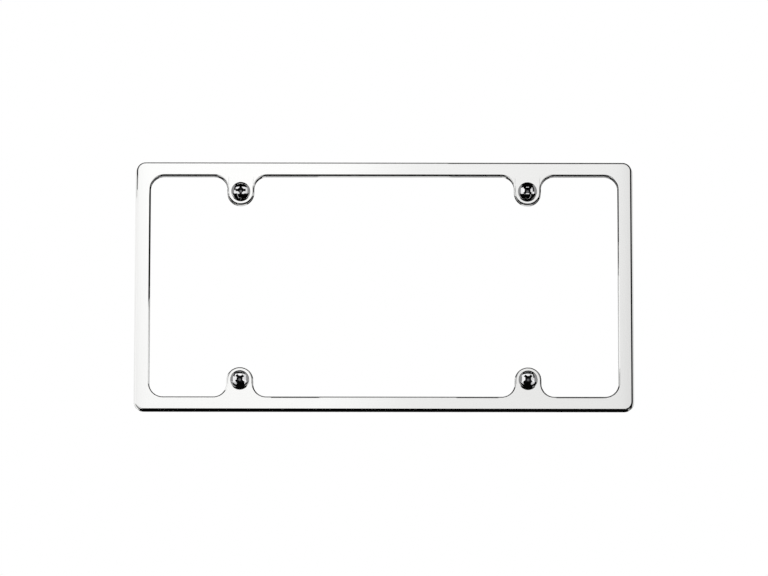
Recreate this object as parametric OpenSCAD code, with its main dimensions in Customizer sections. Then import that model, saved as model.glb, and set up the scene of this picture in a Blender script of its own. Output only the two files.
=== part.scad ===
// Number plate frame: one slim metal frame with four screw tabs, and its four pan-head screws.
// Every piece is drawn lying face up, with X to the right, Y up the plate and Z out of the face.
// upright() then stands it as it sits on a vehicle: X to the right, Z up, the face towards -Y.
// The origin is the middle of the four screws, on the floor of the plate's seat.

/* [Plate] */
// Width of the number plate that the frame holds
plate_w = 304.8; // [280:0.1:340]
// Height of the number plate
plate_h = 152.4; // [148:0.1:180]
// Room left all round the plate in its seat
plate_gap = 0.6; // [0.2:0.1:1.5]
// Depth of the seat, a little over the plate's thickness
seat_depth = 0.9; // [0.6:0.1:1.8]
// Radius of the seat's corners
seat_corner_r = 4; // [2:0.5:8]
// Distance between the screws across the plate
screw_pitch_x = 177.8; // [140:0.1:210]
// Distance between the screws up the plate
screw_pitch_y = 120.65; // [100:0.05:124]

/* [Frame] */
// Depth of the frame, from its face to its back
frame_depth = 5.2; // [4.4:0.1:7]
// Wall beside the seat, left and right, with its lip
side_wall = 1.35; // [1.2:0.05:6]
// Wall beside the seat, top and bottom
top_wall = 2.65; // [1:0.05:8]
// Width of the left and right rails
side_rail = 9.65; // [8.5:0.05:14]
// Width of the top and bottom rails
top_rail = 8.8; // [7.5:0.05:9.5]
// Width of the lip that stands out round the back, at the left and right rails
lip_w = 0.85; // [0.5:0.05:1.15]
// Width of the same lip at the top and bottom rails
lip_h = 0.1; // [0.1:0.05:1.5]
// Thickness of the lip, from the frame's back
lip_t = 1.6; // [1.2:0.1:2.4]
// Radius of the frame's four corners, at the lip
outer_corner_r = 6.4; // [4:0.1:12]
// Radius of the window's four corners
window_corner_r = 8.4; // [4:0.1:20]
// Radius of the rounded edge round the outside of the face
outer_edge_r = 1; // [0.4:0.05:2]
// Radius of the rounded edge round the window and the tabs
window_edge_r = 1.1; // [0.2:0.05:2]
// Radius of the broken edges round the back
back_edge_r = 0.4; // [0.1:0.05:0.6]

/* [Tabs] */
// Width of a tab, which ends in a half circle round its hole
tab_w = 16.7; // [14.5:0.1:22]
// Radius of the fillets where a tab grows out of its rail
tab_root_r = 8; // [2:0.1:9]

/* [Screws] */
// Outer diameter of the threaded shank
screw_d = 6.35; // [4:0.05:7]
// Step from the thread's outside in to the plain neck, as deep as half the thread
neck_step = 0.4; // [0.1:0.05:0.6]
// Gap between the thread's outside and the wall of its hole
screw_gap = 0.325; // [0.1:0.025:0.6]
// Length of the screw below its head
screw_length = 19.05; // [10:0.05:40]
// Chamfer at the tip of the shank
tip_chamfer = 0.9; // [0.3:0.1:1.5]
// Diameter of the pan head
head_d = 11.8; // [10.5:0.1:13]
// Height of the pan head at its middle
head_h = 3.9; // [3.6:0.1:5]
// Radius of the head's rounded side
head_side_r = 2.2; // [1.2:0.1:2.6]
// Radius of the head's shallow crown
head_crown_r = 14; // [12:0.5:30]
// Width of the cross recess over two opposite wings
recess_w = 6.9; // [5:0.1:7.4]
// Width of the recess's wings at their floor
recess_floor_w = 4.4; // [2:0.1:4.5]
// Thickness of one wing
wing_t = 1.6; // [0.8:0.05:1.8]
// Depth of the wings below the top of the head
wing_depth = 2.3; // [1:0.1:2.8]
// Diameter of the round socket at the middle of the cross, at the top of the head
core_d = 3.8; // [2.4:0.1:4.6]
// Diameter of the socket's floor
core_floor_d = 1.6; // [0.8:0.1:2]
// Depth of the socket below the top of the head
core_depth = 3; // [1.5:0.1:3.3]
// Turn of the cross of the top left screw, in degrees
turn_top_left = 0; // [0:1:89]
// Turn of the cross of the top right screw
turn_top_right = 45; // [0:1:89]
// Turn of the cross of the bottom left screw
turn_bottom_left = 40; // [0:1:89]
// Turn of the cross of the bottom right screw
turn_bottom_right = 45; // [0:1:89]

/* [Hidden] */
$fn = 96;
// How far a cut runs past the face that it starts from
cut_past = 1;
// Shortest straight side that a tab keeps between its end and its root fillets
tab_side_min = 0.5;

seat_w = plate_w + 2 * plate_gap;
seat_h = plate_h + 2 * plate_gap;
frame_w = seat_w + 2 * side_wall;
frame_h = seat_h + 2 * top_wall;
window_w = frame_w - 2 * side_rail;
window_h = frame_h - 2 * top_rail;
face_z = frame_depth - seat_depth;
lip_z = lip_t - seat_depth;
body_w = frame_w - 2 * lip_w;
body_h = frame_h - 2 * lip_h;
body_corner_r = outer_corner_r - lip_w;

screw_x = screw_pitch_x / 2;
screw_y = screw_pitch_y / 2;
hole_d = screw_d + 2 * screw_gap;

tab_end_r = tab_w / 2;
tab_reach = window_h / 2 - screw_y;
root_r = min(tab_root_r, tab_reach - tab_side_min);

// The shoulder's circle touches both the head's upright side and its crown from inside
shoulder_x = head_d / 2 - head_side_r;
crown_z = head_h - head_crown_r;
shoulder_z = crown_z + sqrt(pow(head_crown_r - head_side_r, 2) - pow(shoulder_x, 2));
crown_end_x = shoulder_x * head_crown_r / (head_crown_r - head_side_r);

// Stands a piece that was drawn face up
module upright() {
    rotate([90, 0, 0]) children();
}

// One copy in each quarter of the plate, mirrored left to right and top to bottom
module in_four_quarters() {
    for (mirror_x = [0, 1], mirror_y = [0, 1])
        mirror([mirror_x, 0, 0]) mirror([0, mirror_y, 0]) children();
}

module rounded_rectangle(width, height, corner_r) {
    square([width - 2 * corner_r, height], center = true);
    square([width, height - 2 * corner_r], center = true);
    for (side_x = [-1, 1], side_y = [-1, 1])
        translate([side_x * (width / 2 - corner_r), side_y * (height / 2 - corner_r)])
            circle(corner_r);
}

// The metal between a tab's side and its rail, hollowed to the root fillet
module root_fillet() {
    difference() {
        translate([tab_end_r, tab_reach - root_r]) square([root_r, root_r + cut_past]);
        translate([tab_end_r + root_r, tab_reach - root_r]) circle(root_r);
    }
}

// A tab round the screw's axis, running up into its rail
module tab_outline() {
    circle(tab_end_r);
    translate([-tab_end_r, 0]) square([tab_w, tab_reach + cut_past]);
    root_fillet();
    mirror([1, 0]) root_fillet();
}

module window_outline() {
    difference() {
        rounded_rectangle(window_w, window_h, window_corner_r);
        in_four_quarters() translate([screw_x, screw_y]) tab_outline();
    }
}

// What a rounded edge takes away: X runs from the wall into the metal, and Y is 0 at the face
module edge_section(edge_r) {
    difference() {
        translate([-cut_past, -edge_r]) square(edge_r + cut_past);
        translate([edge_r, -edge_r]) circle(edge_r);
    }
}

// Rounds a straight edge, with the metal on the left of the way from start to end
module edge_line(start, end, edge_r) {
    way = end - start;
    translate([start.x, start.y, 0])
        rotate([0, 0, atan2(way.y, way.x) + 90])
            rotate([90, 0, 0])
                linear_extrude(norm(way)) edge_section(edge_r);
}

// Rounds a hollow edge, such as a window corner, with the metal outside the arc
module edge_hollow_arc(centre, arc_r, turn, edge_r) {
    translate([centre.x, centre.y, 0])
        rotate_extrude(angle = turn) translate([arc_r, 0]) edge_section(edge_r);
}

// Rounds a bulging edge, such as a tab's end, with the metal inside the arc
module edge_bulging_arc(centre, arc_r, turn, edge_r) {
    translate([centre.x, centre.y, 0])
        rotate_extrude(angle = turn) translate([arc_r, 0]) mirror([1, 0]) edge_section(edge_r);
}

// The edge round a rectangle with rounded corners
module outer_edge(width, height, corner_r, edge_r) {
    side_x = width / 2;
    top_y = height / 2;
    line_x = side_x - corner_r;
    line_y = top_y - corner_r;
    for (other = [0, 1]) {
        mirror([0, other, 0]) edge_line([line_x, top_y], [-line_x, top_y], edge_r);
        mirror([other, 0, 0]) edge_line([side_x, -line_y], [side_x, line_y], edge_r);
    }
    in_four_quarters() edge_bulging_arc([line_x, line_y], corner_r, 90, edge_r);
}

// The edge of one tab, round the screw's axis
module tab_edge(edge_r) {
    line_y = tab_reach - root_r;
    for (other = [0, 1]) mirror([other, 0, 0]) {
        edge_line([-tab_end_r, line_y], [-tab_end_r, 0], edge_r);
        edge_hollow_arc([-tab_end_r - root_r, line_y], root_r, 90, edge_r);
    }
    rotate([0, 0, 180]) edge_bulging_arc([0, 0], tab_end_r, 180, edge_r);
}

module window_edge(edge_r) {
    side_x = window_w / 2;
    top_y = window_h / 2;
    line_x = side_x - window_corner_r;
    line_y = top_y - window_corner_r;
    near_x = screw_x - tab_end_r - root_r;
    far_x = screw_x + tab_end_r + root_r;
    for (other = [0, 1]) {
        mirror([0, other, 0]) edge_line([-near_x, top_y], [near_x, top_y], edge_r);
        mirror([other, 0, 0]) edge_line([side_x, line_y], [side_x, -line_y], edge_r);
    }
    in_four_quarters() {
        edge_line([far_x, top_y], [line_x, top_y], edge_r);
        edge_hollow_arc([line_x, line_y], window_corner_r, 90, edge_r);
        translate([screw_x, screw_y, 0]) tab_edge(edge_r);
    }
}

// The lip at the back, and the narrower body in front of it
module rails_and_tabs() {
    translate([0, 0, -seat_depth]) linear_extrude(lip_t) difference() {
        rounded_rectangle(frame_w, frame_h, outer_corner_r);
        window_outline();
    }
    translate([0, 0, lip_z]) linear_extrude(face_z - lip_z) difference() {
        rounded_rectangle(body_w, body_h, body_corner_r);
        window_outline();
    }
}

module frame() {
    color("gainsboro") upright() difference() {
        rails_and_tabs();
        translate([0, 0, -seat_depth - cut_past])
            linear_extrude(seat_depth + cut_past) rounded_rectangle(seat_w, seat_h, seat_corner_r);
        in_four_quarters() translate([screw_x, screw_y, -seat_depth - cut_past])
            cylinder(d = hole_d, h = frame_depth + 2 * cut_past);
        translate([0, 0, face_z]) {
            outer_edge(body_w, body_h, body_corner_r, outer_edge_r);
            window_edge(window_edge_r);
        }
        translate([0, 0, -seat_depth]) mirror([0, 0, 1])
            outer_edge(frame_w, frame_h, outer_corner_r, back_edge_r);
        mirror([0, 0, 1]) window_edge(back_edge_r);
    }
}

// Half the section of the pan head, standing on its bearing face
module head_section() {
    square([head_d / 2, shoulder_z]);
    translate([shoulder_x, shoulder_z]) intersection() {
        circle(head_side_r);
        square(head_side_r);
    }
    intersection() {
        translate([0, crown_z]) circle(head_crown_r);
        square([crown_end_x, head_h]);
    }
}

// Half the section of the shank, which starts inside the head so that the two are one solid.
// A plain neck fills the tab, and the thread begins where the plate lies behind it.
module shank_section() {
    shank_r = screw_d / 2;
    neck_r = shank_r - neck_step;
    top = shoulder_z / 2;
    polygon([
        [0, top],
        [neck_r, top],
        [neck_r, neck_step - face_z],
        [shank_r, -face_z],
        [shank_r, tip_chamfer - screw_length],
        [shank_r - tip_chamfer, -screw_length],
        [0, -screw_length]
    ]);
}

// One pair of opposite wings of the cross, from the top of the head down
module recess_wings() {
    rotate([90, 0, 0]) linear_extrude(wing_t, center = true) polygon([
        [-recess_w / 2, cut_past],
        [-recess_w / 2, 0],
        [-recess_floor_w / 2, -wing_depth],
        [recess_floor_w / 2, -wing_depth],
        [recess_w / 2, 0],
        [recess_w / 2, cut_past]
    ]);
}

module cross_recess() {
    recess_wings();
    rotate([0, 0, 90]) recess_wings();
    translate([0, 0, -core_depth]) cylinder(d1 = core_floor_d, d2 = core_d, h = core_depth);
    cylinder(d = core_d, h = cut_past);
}

// A screw on its own axis, with its bearing face at Z = 0
module pan_head_screw(turn) {
    difference() {
        union() {
            rotate_extrude() head_section();
            rotate_extrude() shank_section();
        }
        translate([0, 0, head_h]) rotate([0, 0, turn]) cross_recess();
    }
}

// A screw in its tab: side_x and side_y are 1 or -1, and say which of the four it is
module screw(side_x, side_y, turn) {
    color("silver") upright()
        translate([side_x * screw_x, side_y * screw_y, face_z]) pan_head_screw(turn);
}

frame();
screw(-1, 1, turn_top_left);  // screw_top_left
screw(1, 1, turn_top_right);  // screw_top_right
screw(-1, -1, turn_bottom_left);  // screw_bottom_left
screw(1, -1, turn_bottom_right);  // screw_bottom_right
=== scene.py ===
"""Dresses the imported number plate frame: a polished frame, and four bright screws with real threads."""

import math
from collections import Counter

import bpy
from mathutils import Matrix, Vector


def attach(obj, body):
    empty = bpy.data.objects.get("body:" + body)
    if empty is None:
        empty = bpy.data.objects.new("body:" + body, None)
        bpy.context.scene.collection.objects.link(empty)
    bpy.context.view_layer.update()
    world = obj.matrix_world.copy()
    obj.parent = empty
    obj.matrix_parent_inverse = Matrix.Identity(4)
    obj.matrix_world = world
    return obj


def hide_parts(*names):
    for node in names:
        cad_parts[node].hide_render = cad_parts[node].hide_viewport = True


MM = 0.001

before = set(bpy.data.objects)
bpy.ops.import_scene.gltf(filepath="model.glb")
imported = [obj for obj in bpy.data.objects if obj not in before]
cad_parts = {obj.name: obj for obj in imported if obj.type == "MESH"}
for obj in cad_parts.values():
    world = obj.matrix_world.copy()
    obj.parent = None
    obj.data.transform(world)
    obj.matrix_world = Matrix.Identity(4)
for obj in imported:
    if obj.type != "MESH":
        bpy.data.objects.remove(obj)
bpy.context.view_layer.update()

# The camera of the photograph, in pixels, metres and degrees, with its sensor in millimetres
PHOTO_WIDTH = 768
FOCAL_PIXELS = 8500
SENSOR_WIDTH = 36
CAMERA_DISTANCE = 5.26
CAMERA_BELOW = 15.2
CAMERA_ROLL = 0.07
CAMERA_SIGHT = 100
AIM = Vector((0, 0, -0.00034))

# The studio's floor, in metres
FLOOR_DEPTH = 1.6
FLOOR_SIZE = 60

# The light of the white room on dull surfaces, and the glow of a grey card, as shares of white
ROOM_LIGHT = 0.7
GREY_GLOW = 0.28

# The lamps: their width in metres, and for each its name, its place in metres and its power in watts
LAMP_SIZE = 1.5
LAMPS = [
    ("key_lamp", (-2.0, -2.5, 2.0), 60),
    ("fill_lamp", (2.5, -2.0, 1.0), 25),
    ("rim_lamp", (0.5, 2.5, 2.0), 30),
]

# Large black boards that only reflections meet: the name, and two corners in metres that share one coordinate
BLACK_BOARDS = [
    ("board_left", (-0.40, -0.60, 0.22), (-0.40, 0.62, 0.75)),
    ("board_right", (0.40, -0.60, 0.157), (0.40, 0.62, 0.75)),
    ("board_front_top", (-0.42, -0.60, 0.46), (0.42, -0.60, 0.60)),
    ("board_above_front", (-0.42, -0.60, 0.60), (0.42, -0.41, 0.60)),
    ("board_above", (-0.42, -0.35, 0.60), (0.42, 0.50, 0.60)),
    ("board_behind", (-0.42, 0.50, 0.134), (0.42, 0.50, 0.60)),
    ("band_behind", (-0.40, 0.50, -0.035), (0.40, 0.50, 0.134)),
    ("board_low_front", (-0.45, -1.23, -1.59), (0.45, -1.23, -0.026)),
    ("flag_under", (-0.40, -0.017, -0.10), (0.40, 0.16, -0.10)),
    ("flag_far_under", (-0.40, -0.40, -0.50), (0.40, 0.0, -0.50)),
]

# Black cards close to the part, in the same terms.
# They give the edges, the tabs and the lower screw heads their dark lines.
BLACK_CARDS = [
    ("card_behind_left", (-0.138, 0.03, 0.0385), (-0.101, 0.03, 0.0575)),
    ("card_behind_middle", (-0.077, 0.03, 0.0385), (0.077, 0.03, 0.0575)),
    ("card_behind_right", (0.101, 0.03, 0.0385), (0.138, 0.03, 0.0575)),
    ("shelf_low", (-0.16, -0.06, -0.0788), (0.16, -0.012, -0.0788)),
    ("card_right", (0.165, -0.085, -0.12), (0.165, 0.03, 0.12)),
    ("card_left_front", (-0.165, -0.045, 0.0755), (-0.165, -0.0138, 0.12)),
    ("card_left_middle", (-0.165, -0.0138, 0.0653), (-0.165, -0.0021, 0.12)),
    ("card_left_back", (-0.165, -0.0021, 0.0605), (-0.165, 0.03, 0.12)),
    ("card_above", (0.04, -0.03, 0.0876), (0.16, -0.03, 0.11)),
    ("card_window_left", (-0.1397, -0.0355, -0.007), (-0.1397, -0.002, 0.066)),
    ("card_window_right", (0.1397, -0.0133, 0.03), (0.1397, -0.002, 0.066)),
    ("card_low_left", (-0.07, -0.03, -0.0613), (-0.04, -0.03, -0.045)),
    ("card_low_middle", (0.045, -0.03, -0.0613), (0.071, -0.03, -0.045)),
    ("card_low_right", (0.107, -0.03, -0.0613), (0.137, -0.03, -0.045)),
]

# Grey boards far behind, which the wall along the window's top reflects on both sides of its middle
GREY_BOARDS = [
    ("grey_behind_left", (-0.42, 0.50, -0.075), (-0.045, 0.50, -0.035)),
    ("grey_behind_right", (0.045, 0.50, -0.075), (0.42, 0.50, -0.035)),
]

# Grey cards at both sides of each screw head, in metres: how far aside they stand, their reach in Y,
# and their reach in Z from the middle of the head
GREY_ASIDE = 0.0076
GREY_DEPTH = (-0.0125, -0.0045)
GREY_HEIGHT = (-0.002, 0.010)

# Black cards beside and below the two upper screw heads, in the same terms, for the crescent under each
BLACK_ASIDE = 0.0125
BLACK_DEPTH = (-0.040, -0.006)
BLACK_HEIGHT = (-0.034, -0.0025)

# The white softbox in front, which the face reflects, in metres
SOFTBOX_LOW = (-0.42, -0.60, 0.03)
SOFTBOX_HIGH = (0.42, -0.60, 0.46)

# The softbox's glow, as shares of white at places on it in metres, along X, and along Z for the rise
GLOW_STEP = dict(From_Min=-0.045, From_Max=0.035, To_Min=1.09, To_Max=0.955)
GLOW_SLOPE = dict(From_Min=0.04, From_Max=0.17, To_Min=0.0, To_Max=-0.045)
GLOW_RISE = dict(From_Min=0.08, From_Max=0.24, To_Min=0.94, To_Max=1.0)
GLOW_LEFT_END = dict(From_Min=-0.1725, From_Max=-0.1675, To_Min=0.88, To_Max=1.0)
GLOW_RIGHT_END = dict(From_Min=0.164, From_Max=0.1715, To_Min=1.0, To_Max=0.86)

# The frame's sizes that its screws and its polish need, in metres
FACE_HEIGHT = 4.3 * MM
SCREW_X = 88.9 * MM
SCREW_Z = 60.325 * MM
WINDOW_HALF_WIDTH = 144.7 * MM
WINDOW_HALF_HEIGHT = 70.65 * MM

# The polish: its streaks' length and width in metres, their fine detail, and how far they mix at the corners.
# The streaks are drawn coarser than real ones, which would be too fine to show.
STREAK_LENGTH = 16 * MM
STREAK_WIDTH = 0.35 * MM
STREAK_DETAIL = 3.0
STREAK_FINENESS = 0.6
MITRE_BLUR = 2 * MM

# How rough the polish is, from the low to the high end of the streaks' noise
STREAK_ROUGHNESS = dict(From_Min=0.3, From_Max=0.7, To_Min=0.045, To_Max=0.075)

# A screw's sizes, in metres, with its bearing face at Z = 0 and its head above it
HEAD_R = 5.9 * MM
HEAD_HEIGHT = 3.9 * MM
FOOT_CHAMFER = 0.15 * MM
SHOULDER_R = 2.2 * MM
CROWN_R = 14 * MM
NECK_R = 2.775 * MM
THREAD_R = 3.175 * MM
THREAD_ROOT_R = 2.4 * MM
THREAD_PITCH = 1.27 * MM
THREAD_FLANK = 0.35 * THREAD_PITCH
THREAD_CREST = 0.13 * THREAD_PITCH
THREAD_TOP = -4.3 * MM
SCREW_TIP = -19.05 * MM
TIP_CHAMFER = 0.9 * MM

# The core of the shank, which runs on from the neck and ends inside the thread
NECK_END = THREAD_TOP + 0.3 * MM
CORE_TOP = THREAD_TOP - 0.4 * MM
CORE_TIP = SCREW_TIP + 0.1 * MM
CORE_R = THREAD_ROOT_R - 0.1 * MM

# The swept thread: where it starts, its turns, the steps in each, and the heights where it is cut off flat
SWEEP_START = SCREW_TIP - 2 * THREAD_PITCH
THREAD_TURNS = 16
THREAD_STEPS = 64
SWEEP_LOW = SCREW_TIP - 0.4 * MM
SWEEP_HIGH = THREAD_TOP + 0.7 * MM

# The cross recess in the head, and how far its cutters stand above the head
RECESS_HALF_WIDTH = 3.45 * MM
RECESS_FLOOR_HALF_WIDTH = 2.2 * MM
WING_THICKNESS = 1.6 * MM
WING_DEPTH = 2.3 * MM
SOCKET_R = 1.9 * MM
SOCKET_FLOOR_R = 0.8 * MM
SOCKET_DEPTH = 3 * MM
SOCKET_SIDES = 48
CUTTER_ABOVE = 0.5 * MM

# How finely a screw is made: steps round it, steps along its outline, and the largest angle shaded smooth
ROUND_STEPS = 96
CROWN_STEPS = 12
SHOULDER_STEPS = 16
SMOOTH_ANGLE = math.radians(24)

# How near corners merge and how exact a cut is, in metres: while a piece is made, and in the whole screw
TOLERANCE = 0.001 * MM
FINE_TOLERANCE = 0.0005 * MM

# A face looks down where its normal's Z is below this
LOOKING_DOWN = -0.9

# The screws: the node, its side of the frame in X and in Z, and how far its cross is turned, in degrees
SCREWS = [
    ("screw_top_left", -1, 1, 0),
    ("screw_top_right", 1, 1, 45),
    ("screw_bottom_left", -1, -1, 40),
    ("screw_bottom_right", 1, -1, 45),
]


def linear(hex_colour):
    """An sRGB hex colour as linear red, green, blue and alpha."""
    channels = [int(hex_colour[i:i + 2], 16) / 255 for i in (1, 3, 5)]
    return [c / 12.92 if c <= 0.04045 else ((c + 0.055) / 1.055) ** 2.4 for c in channels] + [1]


def add_node(tree, kind, settings=None, **inputs):
    """A new node. settings are its own options, and inputs are values or sockets, by input name or number."""
    made = tree.nodes.new(kind)
    for name, value in (settings or {}).items():
        setattr(made, name, value)
    for name, value in inputs.items():
        numbered = name[0] == "i" and name[1:].isdigit()
        socket = made.inputs[int(name[1:]) if numbered else name.replace("_", " ")]
        if isinstance(value, bpy.types.NodeSocket):
            tree.links.new(value, socket)
        else:
            socket.default_value = value
    return made


def new_material(name):
    """An empty material, with its node tree and its output node."""
    material = bpy.data.materials.new(name)
    material.use_nodes = True
    material.node_tree.nodes.clear()
    return material, material.node_tree, material.node_tree.nodes.new("ShaderNodeOutputMaterial")


def dress(obj, material):
    """Gives an object one material in place of what it had."""
    obj.data.materials.clear()
    obj.data.materials.append(material)


def deselect():
    """Deselects every object, so that the next operator acts on its own piece alone."""
    bpy.ops.object.select_all(action="DESELECT")


def select_only(piece):
    """Selects one piece and makes it the active one."""
    deselect()
    piece.select_set(True)
    bpy.context.view_layer.objects.active = piece


def seen_by(obj, **rays):
    """Says which rays meet a studio object; the ones not named miss it."""
    for kind in ("camera", "diffuse", "glossy", "transmission", "volume_scatter", "shadow"):
        setattr(obj, "visible_" + kind, rays.get(kind, False))


def add_camera():
    """The camera of the photograph, below the part and looking up at its face."""
    tilt = math.radians(CAMERA_BELOW)
    away = Vector((0, -math.cos(tilt), -math.sin(tilt)))
    bpy.ops.object.camera_add(location=AIM + away * CAMERA_DISTANCE)
    camera = bpy.context.object
    turn = (-away).to_track_quat("-Z", "Y").to_matrix()
    camera.rotation_euler = (turn @ Matrix.Rotation(math.radians(CAMERA_ROLL), 3, "Z")).to_euler()
    camera.data.sensor_width = SENSOR_WIDTH
    camera.data.lens = FOCAL_PIXELS * SENSOR_WIDTH / PHOTO_WIDTH
    camera.data.clip_end = CAMERA_SIGHT
    bpy.context.scene.camera = camera


def add_world():
    """A white room for the camera and for mirrors, which lights dull surfaces a little less."""
    world = bpy.data.worlds.new("studio_white")
    bpy.context.scene.world = world
    world.use_nodes = True
    tree = world.node_tree
    tree.nodes.clear()
    rays = add_node(tree, "ShaderNodeLightPath").outputs
    direct = add_node(tree, "ShaderNodeMath", {"operation": "MAXIMUM"},
                      i0=rays["Is Camera Ray"], i1=rays["Is Glossy Ray"])
    shown = add_node(tree, "ShaderNodeMath", {"operation": "MAXIMUM"},
                     i0=direct.outputs[0], i1=rays["Is Transmission Ray"])
    light = add_node(tree, "ShaderNodeBackground", Color=linear("#FFFFFF"), Strength=ROOM_LIGHT)
    white = add_node(tree, "ShaderNodeBackground", Color=linear("#FFFFFF"), Strength=1.0)
    mix = add_node(tree, "ShaderNodeMixShader",
                   i0=shown.outputs[0], i1=light.outputs[0], i2=white.outputs[0])
    add_node(tree, "ShaderNodeOutputWorld", Surface=mix.outputs[0])


def floor_paint():
    """Matt floor paint, nearly white, which gives a soft light from below."""
    material, tree, output = new_material("pale_floor_paint")
    paint = add_node(tree, "ShaderNodeBsdfDiffuse", Color=linear("#F4F4F4"))
    tree.links.new(paint.outputs[0], output.inputs["Surface"])
    return material


def add_floor():
    """A wide floor, far enough below the part to stay out of the photograph."""
    material = floor_paint()
    deselect()
    bpy.ops.mesh.primitive_plane_add(size=FLOOR_SIZE, location=(0, 0, -FLOOR_DEPTH))
    floor = bpy.context.object
    floor.name = "floor"
    dress(floor, material)


def add_board(name, low, high, material):
    """A flat board between two corners that share one coordinate, which only reflections meet."""
    low, high = Vector(low), Vector(high)
    size = high - low
    flat = min(range(3), key=lambda axis: size[axis])
    turns = [(0, math.pi / 2, 0), (math.pi / 2, 0, 0), (0, 0, 0)]
    scales = [(size.z, size.y, 1), (size.x, size.z, 1), (size.x, size.y, 1)]
    deselect()
    bpy.ops.mesh.primitive_plane_add(size=1, location=(low + high) / 2, rotation=turns[flat])
    board = bpy.context.object
    board.name = name
    board.scale = scales[flat]
    bpy.ops.object.transform_apply(location=True, rotation=True, scale=True)
    dress(board, material)
    seen_by(board, glossy=True)


def add_head_cards(name, screw_x, screw_z, aside, depth, height, material):
    """A card at each side of a screw's head, upright and square to the face."""
    for x in (screw_x - aside, screw_x + aside):
        add_board(name, (x, depth[0], screw_z + height[0]), (x, depth[1], screw_z + height[1]), material)


def black_cloth():
    """Matt black cloth, which shows as black in the metal."""
    material, tree, output = new_material("black_studio_cloth")
    cloth = add_node(tree, "ShaderNodeBsdfDiffuse", Color=linear("#050505"))
    tree.links.new(cloth.outputs[0], output.inputs["Surface"])
    return material


def grey_card():
    """Card with an even glow of its own, so that it shows as one middle grey wherever it is reflected."""
    material, tree, output = new_material("grey_studio_card")
    glow = add_node(tree, "ShaderNodeEmission", Color=linear("#FFFFFF"), Strength=GREY_GLOW)
    tree.links.new(glow.outputs[0], output.inputs["Surface"])
    return material


def softbox_cloth():
    """White cloth lit from behind.

    It is brighter on the left than on the right, brighter in its upper part than in its lower part,
    and darker beyond the place that each end of the frame reflects.
    """
    material, tree, output = new_material("softbox_cloth")
    place = add_node(tree, "ShaderNodeTexCoord").outputs["Object"]
    parts = add_node(tree, "ShaderNodeSeparateXYZ", Vector=place).outputs
    smooth = {"interpolation_type": "SMOOTHSTEP"}
    step = add_node(tree, "ShaderNodeMapRange", smooth, Value=parts["X"], **GLOW_STEP)
    slope = add_node(tree, "ShaderNodeMapRange", Value=parts["X"], **GLOW_SLOPE)
    level = add_node(tree, "ShaderNodeMath", {"operation": "ADD"}, i0=step.outputs[0], i1=slope.outputs[0])
    rise = add_node(tree, "ShaderNodeMapRange", Value=parts["Z"], **GLOW_RISE)
    left_end = add_node(tree, "ShaderNodeMapRange", smooth, Value=parts["X"], **GLOW_LEFT_END)
    right_end = add_node(tree, "ShaderNodeMapRange", Value=parts["X"], **GLOW_RIGHT_END)
    strength = rise
    for factor in (level, left_end, right_end):
        strength = add_node(tree, "ShaderNodeMath", {"operation": "MULTIPLY"},
                            i0=strength.outputs[0], i1=factor.outputs[0])
    glow = add_node(tree, "ShaderNodeEmission", Color=linear("#FFFFFF"), Strength=strength.outputs[0])
    tree.links.new(glow.outputs[0], output.inputs["Surface"])
    return material


def add_studio():
    """The boards, the softbox and the cards that the metal reflects."""
    black = black_cloth()
    grey = grey_card()
    for name, low, high in BLACK_BOARDS + BLACK_CARDS:
        add_board(name, low, high, black)
    add_board("softbox_front", SOFTBOX_LOW, SOFTBOX_HIGH, softbox_cloth())
    for name, low, high in GREY_BOARDS:
        add_board(name, low, high, grey)
    for screw_x in (-SCREW_X, SCREW_X):
        for screw_z in (-SCREW_Z, SCREW_Z):
            add_head_cards("grey_card", screw_x, screw_z, GREY_ASIDE, GREY_DEPTH, GREY_HEIGHT, grey)
        add_head_cards("black_card", screw_x, SCREW_Z, BLACK_ASIDE, BLACK_DEPTH, BLACK_HEIGHT, black)


def add_lamps():
    """Square lamps that face the part. Cameras and mirrors don't see them."""
    for name, place, power in LAMPS:
        deselect()
        bpy.ops.object.light_add(type="AREA", location=place)
        lamp = bpy.context.object
        lamp.name = name
        lamp.rotation_euler = Vector(place).to_track_quat("Z", "Y").to_euler()
        lamp.data.shape = "SQUARE"
        lamp.data.size = LAMP_SIZE
        lamp.data.energy = power
        seen_by(lamp, diffuse=True, shadow=True, transmission=True)


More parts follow.
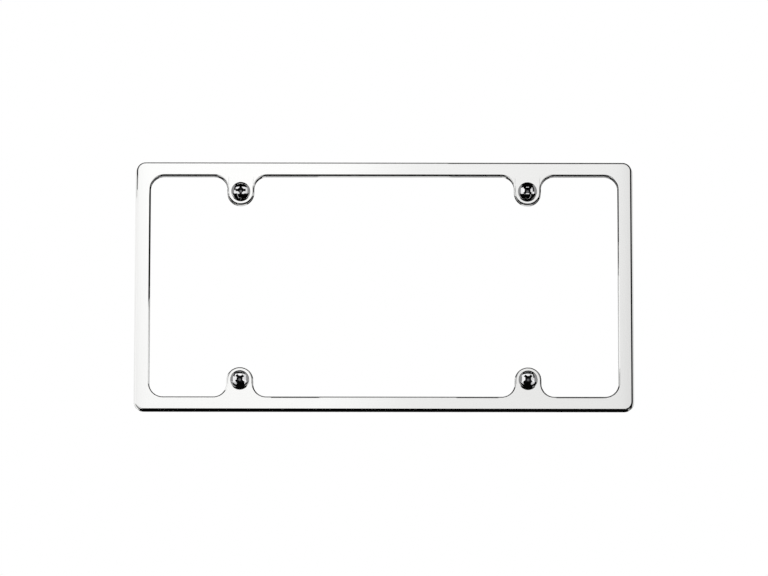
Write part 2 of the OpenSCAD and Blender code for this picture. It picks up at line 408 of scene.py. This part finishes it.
def polished_aluminium():
    """Machined aluminium, polished by hand along each rail: a bright mirror with faint streaks in it."""
    material, tree, output = new_material("polished_aluminium")
    place = add_node(tree, "ShaderNodeTexCoord").outputs["Object"]
    streaks = []
    for long_axis in ("X", "Z"):
        sizes = [STREAK_LENGTH if axis == long_axis else STREAK_WIDTH for axis in "XYZ"]
        stretched = add_node(tree, "ShaderNodeVectorMath", {"operation": "MULTIPLY"},
                             i0=place, i1=[1 / size for size in sizes])
        noise = add_node(tree, "ShaderNodeTexNoise", Vector=stretched.outputs[0], Scale=1.0,
                         Detail=STREAK_DETAIL, Roughness=STREAK_FINENESS)
        streaks.append(noise.outputs["Fac"])
    parts = add_node(tree, "ShaderNodeSeparateXYZ", Vector=place).outputs
    beyond = []
    for axis, half in (("X", WINDOW_HALF_WIDTH), ("Z", WINDOW_HALF_HEIGHT)):
        size = add_node(tree, "ShaderNodeMath", {"operation": "ABSOLUTE"}, i0=parts[axis])
        past = add_node(tree, "ShaderNodeMath", {"operation": "SUBTRACT"}, i0=size.outputs[0], i1=half)
        beyond.append(past.outputs[0])
    mitre = add_node(tree, "ShaderNodeMath", {"operation": "SUBTRACT"}, i0=beyond[0], i1=beyond[1])
    on_side = add_node(tree, "ShaderNodeMapRange", Value=mitre.outputs[0],
                       From_Min=-MITRE_BLUR, From_Max=MITRE_BLUR, To_Min=0.0, To_Max=1.0)
    streak = add_node(tree, "ShaderNodeMix", {"data_type": "FLOAT"},
                      i0=on_side.outputs[0], i2=streaks[0], i3=streaks[1]).outputs[0]
    tone = add_node(tree, "ShaderNodeMix", {"data_type": "RGBA"},
                    i0=streak, i6=linear("#F1F1F0"), i7=linear("#F9F9F8")).outputs[2]
    rough = add_node(tree, "ShaderNodeMapRange", Value=streak, **STREAK_ROUGHNESS).outputs[0]
    metal = add_node(tree, "ShaderNodeBsdfPrincipled", Base_Color=tone, Metallic=1.0, Roughness=rough)
    tree.links.new(metal.outputs[0], output.inputs["Surface"])
    return material


def bright_plated_steel():
    """Steel with a bright zinc plating: a clean mirror, as light as the aluminium and a little colder."""
    material, tree, output = new_material("bright_plated_steel")
    metal = add_node(tree, "ShaderNodeBsdfPrincipled",
                     Base_Color=linear("#F4F4F5"), Metallic=1.0, Roughness=0.05)
    tree.links.new(metal.outputs[0], output.inputs["Surface"])
    return material


def painted_shade_recess_walls():
    """The walls of the cross recess, with painted shade: dark and dull, for the shade inside the recess."""
    material, tree, output = new_material("painted_shade_recess_walls")
    metal = add_node(tree, "ShaderNodeBsdfPrincipled",
                     Base_Color=linear("#202022"), Metallic=1.0, Roughness=0.35)
    tree.links.new(metal.outputs[0], output.inputs["Surface"])
    return material


def painted_shade_recess_floor():
    """The flat floor of the recess, with painted shade: dark, though less dark than the walls."""
    material, tree, output = new_material("painted_shade_recess_floor")
    metal = add_node(tree, "ShaderNodeBsdfPrincipled",
                     Base_Color=linear("#6A6A6C"), Metallic=1.0, Roughness=0.25)
    tree.links.new(metal.outputs[0], output.inputs["Surface"])
    return material


def edit_corners(piece, chosen):
    """Enters edit mode with only the chosen corners selected: a true or false for each one."""
    bpy.ops.object.mode_set(mode="EDIT")
    bpy.ops.mesh.select_mode(type="VERT")
    bpy.ops.mesh.select_all(action="DESELECT")
    bpy.ops.object.mode_set(mode="OBJECT")
    piece.data.vertices.foreach_set("select", chosen)
    bpy.ops.object.mode_set(mode="EDIT")


def turned(name, outline):
    """A piece spun on the Z axis from a chain of edges on its outline, each point a radius and a height."""
    deselect()
    bpy.ops.mesh.primitive_plane_add(size=MM)
    piece = bpy.context.object
    piece.name = name
    bpy.ops.object.mode_set(mode="EDIT")
    bpy.ops.mesh.merge(type="CENTER")
    bpy.ops.transform.translate(value=(outline[0][0], 0, outline[0][1]))
    for (from_r, from_z), (to_r, to_z) in zip(outline, outline[1:]):
        bpy.ops.mesh.extrude_region_move(TRANSFORM_OT_translate={"value": (to_r - from_r, 0, to_z - from_z)})
    bpy.ops.mesh.select_all(action="SELECT")
    bpy.ops.mesh.spin(steps=ROUND_STEPS, angle=math.tau, center=(0, 0, 0), axis=(0, 0, 1),
                      use_auto_merge=True)
    bpy.ops.mesh.select_all(action="SELECT")
    bpy.ops.mesh.remove_doubles(threshold=TOLERANCE)
    bpy.ops.mesh.normals_make_consistent(inside=False)
    bpy.ops.object.mode_set(mode="OBJECT")
    return piece


def combine(piece, other, operation):
    """Joins, cuts or trims a piece by another one, which is used up."""
    modifier = piece.modifiers.new(operation.lower(), "BOOLEAN")
    modifier.operation = operation
    modifier.solver = "EXACT"
    modifier.material_mode = "TRANSFER"
    modifier.object = other
    select_only(piece)
    bpy.ops.object.modifier_apply(modifier=modifier.name)
    bpy.data.objects.remove(other, do_unlink=True)


def arc(centre_r, centre_z, radius, from_degrees, to_degrees, steps):
    """Points on an arc of an outline. The degrees are from the Z axis, outwards."""
    turns = [math.radians(from_degrees + (to_degrees - from_degrees) * i / steps) for i in range(steps + 1)]
    return [(centre_r + radius * math.sin(turn), centre_z + radius * math.cos(turn)) for turn in turns]


def head_and_core():
    """The pan head, its plain neck, and a core that ends inside the thread."""
    shoulder_x = HEAD_R - SHOULDER_R
    crown_z = HEAD_HEIGHT - CROWN_R
    meeting = math.degrees(math.asin(shoulder_x / (CROWN_R - SHOULDER_R)))
    shoulder_z = crown_z + (CROWN_R - SHOULDER_R) * math.cos(math.radians(meeting))
    outline = arc(0, crown_z, CROWN_R, 0, meeting, CROWN_STEPS)
    outline += arc(shoulder_x, shoulder_z, SHOULDER_R, meeting, 90, SHOULDER_STEPS)[1:]
    outline += [(HEAD_R, FOOT_CHAMFER), (HEAD_R - FOOT_CHAMFER, 0), (NECK_R, 0), (NECK_R, NECK_END)]
    outline += [(CORE_R, CORE_TOP), (CORE_R, CORE_TIP), (0, CORE_TIP)]
    return turned("screw", outline)


def threaded_shank():
    """A screw thread: one pitch of its section, swept up a helix, then trimmed to the shank's own outline."""
    root = THREAD_PITCH - 2 * THREAD_FLANK - THREAD_CREST
    rise = THREAD_R - THREAD_ROOT_R
    deselect()
    bpy.ops.mesh.primitive_plane_add(size=MM)
    shank = bpy.context.object
    bpy.ops.object.mode_set(mode="EDIT")
    bpy.ops.mesh.merge(type="CENTER")
    bpy.ops.transform.translate(value=(THREAD_ROOT_R, 0, SWEEP_START))
    for out, up in ((0, root), (rise, THREAD_FLANK), (0, THREAD_CREST), (-rise, THREAD_FLANK)):
        bpy.ops.mesh.extrude_region_move(TRANSFORM_OT_translate={"value": (out, 0, up)})
    bpy.ops.object.mode_set(mode="OBJECT")
    sweep = shank.modifiers.new("sweep", "SCREW")
    sweep.angle = math.tau
    sweep.screw_offset = THREAD_PITCH
    sweep.iterations = THREAD_TURNS
    sweep.steps = sweep.render_steps = THREAD_STEPS
    sweep.use_merge_vertices = True
    sweep.merge_threshold = TOLERANCE
    bpy.ops.object.modifier_apply(modifier=sweep.name)
    bpy.ops.object.mode_set(mode="EDIT")
    for height, normal in ((SWEEP_LOW, (0, 0, -1)), (SWEEP_HIGH, (0, 0, 1))):
        bpy.ops.mesh.select_all(action="SELECT")
        bpy.ops.mesh.remove_doubles(threshold=TOLERANCE)
        bpy.ops.mesh.bisect(plane_co=(0, 0, height), plane_no=normal, use_fill=True, clear_outer=True,
                            threshold=TOLERANCE)
    bpy.ops.mesh.select_all(action="SELECT")
    bpy.ops.mesh.normals_make_consistent(inside=False)
    bpy.ops.object.mode_set(mode="OBJECT")
    run_out = THREAD_R - NECK_R
    outline = [(0, THREAD_TOP + run_out), (NECK_R, THREAD_TOP + run_out), (THREAD_R, THREAD_TOP)]
    outline += [(THREAD_R, SCREW_TIP + TIP_CHAMFER), (THREAD_R - TIP_CHAMFER, SCREW_TIP), (0, SCREW_TIP)]
    combine(shank, turned("shank_outline", outline), "INTERSECT")
    return shank


def recess_wing(quarter, wall_painted_shade):
    """A cutter for two opposite wings, narrower at its floor: quarter 0 is along X and quarter 1 along Y."""
    depth = WING_DEPTH + CUTTER_ABOVE
    floor = HEAD_HEIGHT - WING_DEPTH
    deselect()
    bpy.ops.mesh.primitive_cube_add(size=1, location=(0, 0, HEAD_HEIGHT + CUTTER_ABOVE - depth / 2),
                                    scale=(2 * RECESS_HALF_WIDTH, WING_THICKNESS, depth))
    wing = bpy.context.object
    wing.rotation_euler.z = quarter * math.pi / 2
    bpy.ops.object.transform_apply(location=True, rotation=True, scale=True)
    edit_corners(wing, [vertex.co.z < floor + CUTTER_ABOVE / 2 for vertex in wing.data.vertices])
    share = RECESS_FLOOR_HALF_WIDTH / RECESS_HALF_WIDTH
    bpy.ops.transform.resize(value=(1, share, 1) if quarter else (share, 1, 1), center_override=(0, 0, floor))
    bpy.ops.object.mode_set(mode="OBJECT")
    # The wing's cut walls carry the recess's painted shade.
    dress(wing, wall_painted_shade)
    return wing


def recess_socket(wall_painted_shade, bottom_painted_shade):
    """A cutter for the round socket at the middle of the cross. Its walls carry the recess's painted shade,
    and its floor a painted shade of its own.
    """
    top_r = SOCKET_R + (SOCKET_R - SOCKET_FLOOR_R) * CUTTER_ABOVE / SOCKET_DEPTH
    deselect()
    bpy.ops.mesh.primitive_cone_add(vertices=SOCKET_SIDES, radius1=SOCKET_FLOOR_R, radius2=top_r,
                                    depth=SOCKET_DEPTH + CUTTER_ABOVE,
                                    location=(0, 0, HEAD_HEIGHT + (CUTTER_ABOVE - SOCKET_DEPTH) / 2))
    socket = bpy.context.object
    bpy.ops.object.transform_apply(location=True, rotation=True, scale=True)
    dress(socket, wall_painted_shade)
    socket.data.materials.append(bottom_painted_shade)
    # Faces that look down become the socket's floor and carry the floor's painted shade; the others carry the
    # walls' painted shade.
    for face in socket.data.polygons:
        face.material_index = 1 if face.normal.z < LOOKING_DOWN else 0
    return socket


def settle_corners(screw):
    """Merges corners that lie in one place, and dissolves those that only split an edge in two."""
    select_only(screw)
    bpy.ops.object.mode_set(mode="EDIT")
    bpy.ops.mesh.select_all(action="SELECT")
    bpy.ops.mesh.remove_doubles(threshold=FINE_TOLERANCE)
    bpy.ops.object.mode_set(mode="OBJECT")
    edges_at = Counter(corner for edge in screw.data.edges for corner in edge.vertices)
    edit_corners(screw, [edges_at[vertex.index] == 2 for vertex in screw.data.vertices])
    bpy.ops.mesh.dissolve_verts()
    bpy.ops.object.mode_set(mode="OBJECT")


def pan_head_screw(steel, wall_painted_shade, bottom_painted_shade):
    """One whole screw on the Z axis, with its bearing face at Z = 0."""
    screw = head_and_core()
    combine(screw, threaded_shank(), "UNION")
    dress(screw, steel)
    combine(screw, recess_wing(0, wall_painted_shade), "DIFFERENCE")
    combine(screw, recess_wing(1, wall_painted_shade), "DIFFERENCE")
    combine(screw, recess_socket(wall_painted_shade, bottom_painted_shade), "DIFFERENCE")
    settle_corners(screw)
    bpy.ops.object.shade_smooth_by_angle(angle=SMOOTH_ANGLE)
    return screw


def place_screw(model, node, side_x, side_z, turn_degrees):
    """A copy of the screw, turned about its axis and set into its tab."""
    select_only(model)
    bpy.ops.object.duplicate(linked=False)
    screw = bpy.context.object
    screw.name = node + "_threaded"
    screw.rotation_mode = "ZYX"
    screw.rotation_euler = (math.pi / 2, 0, math.radians(turn_degrees))
    screw.location = (side_x * SCREW_X, -FACE_HEIGHT, side_z * SCREW_Z)
    bpy.ops.object.transform_apply(location=True, rotation=True, scale=True)
    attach(screw, "root")
    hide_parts(node)


add_camera()
add_world()
add_floor()
add_studio()
add_lamps()

dress(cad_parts["frame"], polished_aluminium())
# The recess's two materials are painted shade, much darker than the plating.
model = pan_head_screw(bright_plated_steel(), painted_shade_recess_walls(), painted_shade_recess_floor())
for node, side_x, side_z, turn_degrees in SCREWS:
    place_screw(model, node, side_x, side_z, turn_degrees)
bpy.data.objects.remove(model, do_unlink=True)

bpy.context.scene.view_settings.view_transform = "Standard"
